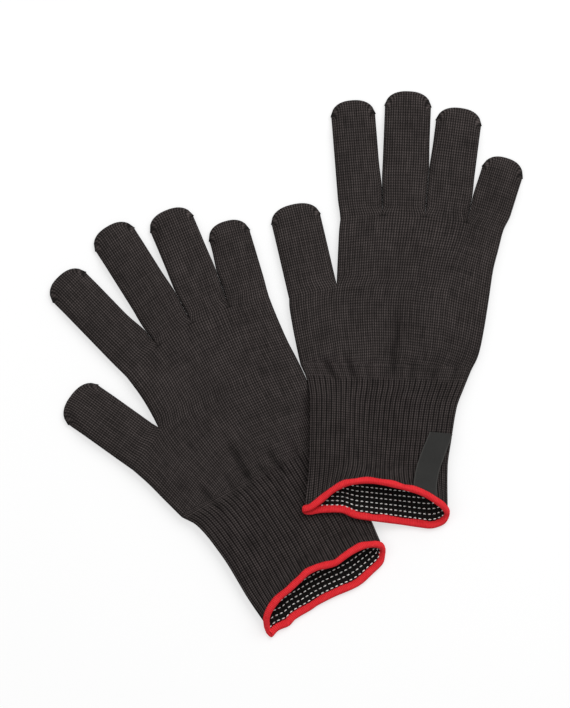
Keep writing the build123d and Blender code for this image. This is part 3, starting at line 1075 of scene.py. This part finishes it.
def build_threads(glove, inner, normals, along):
    """Rows of elastic thread inside the mouth, each in sight once in every rib."""
    count = inner.shape[1]
    depth = thread_wave * np.cos(math.tau * np.arange(count) / rib_points) - thread_sink
    turn = math.tau * np.arange(thread_sides)[:, None, None] / thread_sides
    points, faces, corners = [], [], []
    for row in range(thread_rows):
        wanted = along[-1] - thread_first - row * thread_pitch
        below = np.searchsorted(along, wanted) - 1
        share = (wanted - along[below]) / (along[below + 1] - along[below])
        way = normals[below]
        centre = inner[below] + share * (inner[below + 1] - inner[below]) - way * depth[:, None]
        run = unit(np.roll(centre, -1, axis=0) - np.roll(centre, 1, axis=0))
        round_it = np.cos(turn) * way + np.sin(turn) * np.cross(run, way)
        points.append(centre + thread_radius * round_it)
        row_faces, row_corners = quads(thread_sides, count, row * thread_sides * count, ring=True)
        faces += row_faces
        corners += row_corners
    points = to_row(glove, np.array(points).reshape(-1, 3))
    return make_object(f"{glove.name}_elastic_rows", points, faces, corners, elastic)


# -------------------------------------------------------------------------- the label


def upper_surface(base):
    """Height of a cuff's upper layer above a point in plan."""
    top = base[:, : base.shape[1] // 2 + 1].reshape(-1, 3)
    tree = KDTree(len(top))
    for number, point in enumerate(top):
        tree.insert((point[0], point[1], 0.0), number)
    tree.balance()

    def height(plan):
        nearest = tree.find_n((plan[0], plan[1], 0.0), label_nearest)
        weights = [1 / (distance + label_nearest_gap) for _, _, distance in nearest]
        total = sum(w * top[number][2] for w, (_, number, _) in zip(weights, nearest))
        return total / sum(weights)

    return height


def build_label(glove, base):
    """The folded label, lying on the ribs beside the right fold."""
    surface = upper_surface(base)
    middle = path(label_middle, np.linspace(0, 1, label_rows + 1))
    along = unit(np.gradient(middle, axis=0))
    across = np.column_stack([along[:, 1], -along[:, 0]])
    rest = np.array([surface(centre) for centre in middle])
    inside = np.array([surface(centre) for centre in middle - label_lean_reach * across])
    tilt = np.clip((rest - inside) / label_lean_reach, -label_lean, label_lean)
    window = np.ones(label_calming) / label_calming
    padding = label_calming // 2
    rest = np.convolve(np.pad(rest, padding, mode="edge"), window, "valid") + label_clearance
    tilt = np.convolve(np.pad(tilt, padding, mode="edge"), window, "valid")
    length = distances(np.column_stack([middle, rest]))
    rest -= label_tuck * smooth(1 - length / label_tuck_reach)

    # rows along the tape: row of the middle line, how far past it and up, and run so far
    loop = label_gap / 2 + label_thickness / 2
    rows = [(k, 0.0, 0.0, length[k]) for k in range(label_rows + 1)]
    for bend in np.linspace(0, math.pi, label_bends)[1:-1]:
        past, up = loop * math.sin(bend), loop * (1 - math.cos(bend))
        rows.append((label_rows, past, up, length[-1] + loop * bend))
    whole = 2 * length[-1] + loop * math.pi
    rows += [(k, 0.0, 2 * loop, whole - length[k]) for k in range(label_rows, -1, -1)]

    reach = np.linspace(-0.5, 0.5, label_columns + 1) * label_width
    points = []
    for k, past, up, _ in rows:
        slack = label_slack * math.sin(math.pi * k / label_rows) if up > loop else 0.0
        share = k / label_rows
        slant = label_foot_slant * (1 - share) ** 3 - label_top_slant * share**3
        round_side = share**4 * (2 * np.maximum(reach, 0) / label_width) ** 2
        aside = reach - label_turn_in * round_side
        plan = middle[k] + along[k] * past + np.outer(aside, across[k] - slant * along[k])
        z = rest[k] + up + slack + tilt[k] * reach - label_turn_down * round_side
        points.extend(np.column_stack([plan, z]))
    points = np.array(points)
    faces, corners = quads(len(rows), label_columns + 1, tube=False)
    knit = [[(reach[i], rows[j][3]) for j, i in corner] for corner in corners]
    normals = vertex_normals(points, faces)
    outer = points + normals * label_thickness / 2
    return fabric_piece(
        "right_folded_label", glove, outer, normals, faces, knit, label_thickness, tape
    )


# -------------------------------------------------------------------------- materials


def reckoning(operation, swapped=False):
    """A way to reckon with a value that adds a math node."""

    def method(self, *others):
        values = (*others, self) if swapped else (self, *others)
        return self.shade.math(operation, *values)

    return method


class Value:
    """The result of a node, to reckon with."""

    def __init__(self, shade, socket):
        self.shade = shade
        self.socket = socket

    __add__ = reckoning("ADD")
    __sub__ = reckoning("SUBTRACT")
    __rsub__ = reckoning("SUBTRACT", swapped=True)
    __mul__ = reckoning("MULTIPLY")
    __truediv__ = reckoning("DIVIDE")
    __mod__ = reckoning("FLOORED_MODULO")
    __pow__ = reckoning("POWER")
    __abs__ = reckoning("ABSOLUTE")


class Shade:
    """Adds nodes to a tree. Each method returns the new node's result."""

    def __init__(self, tree):
        self.tree = tree

    def link(self, source, socket):
        """Links a value to a node's input, or sets it to a number or colour."""
        if isinstance(source, Value):
            self.tree.links.new(source.socket, socket)
        else:
            socket.default_value = (*source, 1) if isinstance(source, tuple) else source

    def node(self, kind, sources=None, result=0, **settings):
        """A new node, with its settings made and its inputs linked or set."""
        node = self.tree.nodes.new(f"ShaderNode{kind}")
        for name, setting in settings.items():
            setattr(node, name, setting)
        for name, source in (sources or {}).items():
            self.link(source, node.inputs[name])
        return Value(self, node.outputs[result])

    def finish(self, shader, sources):
        """Links or sets inputs of the tree's own shader."""
        for name, source in sources.items():
            self.link(source, self.tree.nodes[shader].inputs[name])

    def math(self, operation, *values):
        return self.node("Math", dict(enumerate(values)), operation=operation)

    def sine(self, half_turns):
        return self.math("SINE", half_turns * math.pi)

    def wave(self, turns):
        """Sine of a number of turns, from 0 to 1."""
        return self.sine(turns * 2) * 0.5 + 0.5

    def mix(self, share, low, high):
        """A number from `low` to `high`."""
        return self.node("Mix", {0: share, 2: low, 3: high})

    def blend(self, share, low, high):
        """A colour from `low` to `high`."""
        return self.node("Mix", {0: share, 6: low, 7: high}, 2, data_type="RGBA")

    def ramp(self, value, low, high):
        """0 below `low`, 1 above `high`, eased between them."""
        sources = {"Value": value, "From Min": low, "From Max": high}
        return self.node("MapRange", sources, interpolation_type="SMOOTHSTEP")

    def rays(self):
        """1 for what the camera sees, directly or in a gloss or through glass."""
        kinds = ("Is Camera Ray", "Is Glossy Ray", "Is Transmission Ray")
        camera, glossy, through = [self.node("LightPath", result=kind) for kind in kinds]
        return self.math("MINIMUM", camera + glossy + through, 1.0)

    def knit_place(self):
        """Place in the knitting: wales across and millimetres along."""
        place = self.node("UVMap", uv_map="knit")
        return [self.node("SeparateXYZ", {0: place}, axis) for axis in (0, 1)]

    def at(self, x, y):
        return self.node("CombineXYZ", {0: x, 1: y})

    def noise(self, scale, detail=2.0, place=None):
        """Uneven values about 0.5, over the object or at a place in its knitting."""
        place = place or self.node("TexCoord", result="Object")
        return self.node("TexNoise", {"Vector": place, "Scale": scale, "Detail": detail}, "Fac")

    def bump(self, height, distance):
        """Bump from a height of 0 to 1, `distance` in metres."""
        return self.node("Bump", {"Strength": 1.0, "Distance": distance, "Height": height})


def stitches(shade, u, v, course_pitch):
    """Height of knitting: every stitch is a V, seen as two legs either side of its wale."""
    across = shade.math("FRACT", u)
    leg = shade.wave(v / course_pitch - abs(across - 0.5) * (2 * stitch_slant))
    ridge = shade.sine(across) ** 2.6
    return ridge * (leg * 0.6 + 0.4) + (1 - ridge) * leg * 0.17


def yarn_colour(shade, height, u, v):
    """Colour of black yarn: dark between the stitches, with streaks, soft patches and painted shade in
    the folds and furrows.
    """
    streak = shade.noise(0.8, place=shade.at(u, v * 0.1))
    row = shade.noise(0.55, place=shade.at(u * 0.1, v))
    patch = shade.noise(70.0, 3.0)
    level = streak * 1.5 + row * 0.8 + patch * 0.7 - 0.5
    # painted shade in the side folds and furrows darkens the yarn
    painted_shade = shade.node("Attribute", result="Fac", attribute_name="painted_shade")
    share = (height * 0.8 + 0.035) * level * (1 - painted_shade * 0.8)
    return shade.blend(shade.math("MAXIMUM", share, 0.0), yarn_dark, yarn_light)


def fuzzy(shade, colour, height):
    """Surface of yarn with its fuzz."""
    fuzz = shade.noise(900.0)
    return colour, shade.mix(fuzz, 0.78, 0.98), height + fuzz * 0.25, yarn_relief


def jersey_surface(shade):
    """Fine jersey, with painted shade at the crotches between the fingers."""
    u, v = shade.knit_place()
    height = stitches(shade, u * jersey_wales, v, jersey_course)
    past = u - (thumb_wales + finger_wales / 2)
    to_crotch = abs(past % finger_wales - finger_wales / 2)
    span = 1.5 * finger_wales
    among_fingers = shade.ramp(abs(past - span), span, span - 1)
    # painted shade where the fingers meet at each crotch
    crotch_shade = shade.ramp(to_crotch, 3.0, 0.5) * among_fingers * shade.ramp(abs(v), 1.3, 0.3)
    colour = shade.blend(crotch_shade * 0.5, yarn_colour(shade, height, u, v), yarn_dark)
    return fuzzy(shade, colour, height)


def ribbing_surface(shade, shaded=0.0):
    """Rib knit: ribs of two wales, with painted shade in the grooves between the ribs."""
    u, v = shade.knit_place()
    start = shade.ramp(shade.noise(0.45, 3.0, shade.at(u, 0.0)) * 9.0 + v, 3.0, 6.0)
    flat = stitches(shade, u * flat_wales, v, jersey_course)
    height = shade.mix(start, flat, stitches(shade, u, v, rib_course))
    rib = shade.sine(shade.math("FRACT", u / rib_wales))
    # painted shade in the grooves between the ribs, on top of their real depth
    groove_shade = start * (1 - rib) * (1.1 - shade.wave(v / rib_course) * 0.5)
    colour = yarn_colour(shade, height * (start * 0.2 + 1.0), u, v)
    colour = shade.blend(groove_shade, colour, yarn_dark)
    # painted shade: the cuff's inside is the same yarn drawn darker
    if shaded:
        colour = shade.blend(shaded, colour, inside_shade)
    return fuzzy(shade, colour, height)


def overlock_surface(shade):
    """Overlocking thread, wound side by side."""
    u, v = shade.knit_place()
    turns = u / stitch_points + v / edge_section
    thread = abs(shade.sine(turns))
    twist = shade.wave((turns + v * 0.2) * 3.0)
    varied = shade.noise(260.0, 4.0)
    share = thread * 0.5 + varied + twist * 0.18 - 0.3
    colour = shade.blend(shade.math("MAXIMUM", share, 0.0), red_deep, red_bright)
    return colour, shade.mix(varied, 0.55, 0.8), thread + twist * 0.4, overlock_relief


def elastic_surface(shade):
    """Elastic thread with a twist."""
    u, v = shade.knit_place()
    twist = shade.wave(u / thread_sides + v / 4.0)
    colour = shade.blend(twist, elastic_dull, elastic_bright)
    return colour, shade.mix(twist, 0.6, 0.4), twist, elastic_relief


def tape_surface(shade):
    """Smooth woven tape with a slightly lighter selvedge."""
    u, v = shade.knit_place()
    woven = shade.math("MAXIMUM", shade.wave(v / 0.35), shade.wave(u / 0.3) * 0.8)
    selvedge = shade.ramp(abs(u), label_width / 2 - 0.75, label_width / 2 - 0.35)
    varied = shade.noise(120.0, 3.0)
    colour = shade.blend(woven * 0.35 + varied * 0.4, tape_dark, tape_light)
    colour = shade.blend(selvedge * 0.4, colour, selvedge_tone)
    return colour, shade.mix(varied, 0.4, 0.62), woven, tape_relief


def new_material(name):
    """A material and the helper that adds its nodes."""
    material = bpy.data.materials.new(name)
    material.use_nodes = True
    return material, Shade(material.node_tree)


def make_material(name, specular, surface, *given):
    """A material from the colour, roughness, relief and its depth that `surface` gives."""
    material, shade = new_material(name)
    colour, roughness, relief, depth = surface(shade, *given)
    sources = {"Base Color": colour, "Roughness": roughness, "Normal": shade.bump(relief, depth)}
    shade.finish("Principled BSDF", {"Specular IOR Level": specular, **sources})
    return material


def white_table():
    """White table that keeps the gloves' shadow and reaches white away from them."""
    material, shade = new_material("white_table")
    sources = {"Base Color": (table_tone,) * 3, "Roughness": 1.0, "Specular IOR Level": 0.0}
    lift = shade.mix(shade.rays(), 0.0, table_lift)
    sources |= {"Emission Color": (1, 1, 1), "Emission Strength": lift}
    shade.finish("Principled BSDF", sources)
    return material


jersey = make_material("fine_jersey", 0.1, jersey_surface)
ribbing = make_material("rib_knit", 0.1, ribbing_surface)
# the cuff's inside: the same rib knit with painted shade
rib_shaded_inside = make_material("rib_knit_inside_painted_shade", 0.1, ribbing_surface, 0.85)
edging = make_material("red_overlock", 0.15, overlock_surface)
elastic = make_material("elastic_thread", 0.4, elastic_surface)
tape = make_material("label_tape", 0.15, tape_surface)


# ----------------------------------------------------------------------------- gloves


def build_glove(glove):
    """The hand's and digits' pieces, and the cuff's grid with each row's distance."""
    net = Net()
    wrist, digit_rings = build_hand(net, glove)
    first_wale = 0
    for digit, ring in zip(glove.digits, digit_rings):
        build_digit(net, glove, digit, ring, first_wale)
        first_wale += thumb_wales if digit.name == "thumb" else finger_wales
    base, along = cuff_grid(glove, net, wrist)
    points = np.array(net.points)
    points = uneven(glove, points, vertex_normals(points, net.faces))
    normals = vertex_normals(points, net.faces)
    pieces = {}
    for owner in ["hand", *[d.name for d in glove.digits]]:
        chosen = [k for k, o in enumerate(net.owners) if o == owner]
        pieces[owner] = fabric_piece(
            f"{glove.name}_{owner}_knit",
            glove,
            points,
            normals,
            [net.faces[k] for k in chosen],
            [net.knit[k] for k in chosen],
            shell,
            jersey,
        )
    return pieces, base, along


for glove in (left, right):
    side = glove.name
    pieces, base, along = build_glove(glove)
    cuff, base, normals, inner = build_cuff(glove, base, along)
    edge = build_edge(glove, base, normals)
    threads = build_threads(glove, inner, normals, along)
    for piece, slot in ((edge, "red_edging"), (threads, "elastic_thread")):
        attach(piece, f"{side}_cuff")
    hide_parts(f"{side}_cuff_edge")
    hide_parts(f"{side}_elastic_threads")
    ends = [(0.0, way * wrist_half, hand_height / 2) for way in (1, -1)]
    ends = to_row(glove, np.array(ends))
    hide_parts(f"{side}_ribbed_cuff", f"{side}_wrist")
    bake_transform(cuff)
    hand = pieces.pop("hand")
    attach(hand, f"{side}_hand")
    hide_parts(f"{side}_hand")
    for digit in glove.digits:
        piece = pieces[digit.name]
        ends = place(digit, [[0.0, 0.0], [0.0, digit_bend]])
        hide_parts(f"{side}_{digit.name}", f"{side}_{digit.name}_root")
        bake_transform(piece)

label = build_label(right, base)
foot = label_middle[0]
ends = to_row(right, np.array([(*foot, 0.0), (foot[0], foot[1] + label_hinge, 0.0)]))
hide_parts("right_label")
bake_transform(label)


# ------------------------------------------------------------------ floor, light, view


floor_mesh = bpy.data.meshes.new("floor")
corners = [(x * floor_half, y * floor_half, -floor_drop) for x in (-1, 1) for y in (-1, 1)]
floor_mesh.from_pydata(corners, [], [(0, 2, 3, 1)])
floor = add_object("floor", floor_mesh)
floor_mesh.materials.append(white_table())

world = bpy.data.worlds.new("studio")
bpy.context.scene.world = world
world.use_nodes = True
backdrop = Shade(world.node_tree)
strength = backdrop.mix(backdrop.rays(), world_strength, 1.0)
backdrop.finish("Background", {"Color": (1, 1, 1), "Strength": strength})


def lamp(name, azimuth, height, size, power):
    """A square soft box, `azimuth` and `height` in degrees as seen from the gloves."""
    data = bpy.data.lights.new(name, "AREA")
    data.size = size
    data.energy = power
    made = add_object(name, data)
    turn, rise = math.radians(azimuth), math.radians(height)
    level = math.cos(rise)
    way = Vector((math.cos(turn) * level, math.sin(turn) * level, math.sin(rise)))
    made.location = way * lamp_distance
    made.rotation_euler = (-way).to_track_quat("-Z", "Y").to_euler()


lamp("key", azimuth=52, height=48, size=1.2, power=14.5)
lamp("fill", azimuth=190, height=62, size=1.4, power=4.8)

camera_data = bpy.data.cameras.new("camera")
camera_data.lens = lens
camera_data.sensor_width = 36.0
camera = add_object("camera", camera_data)
toward = Vector((0, -math.cos(elevation), math.sin(elevation)))
camera.location = aim + toward * (frame_height * lens / camera_data.sensor_width)
camera.rotation_euler = (math.pi / 2 - elevation, 0, 0)
bpy.context.scene.camera = camera

bpy.context.scene.view_settings.view_transform = "Standard"
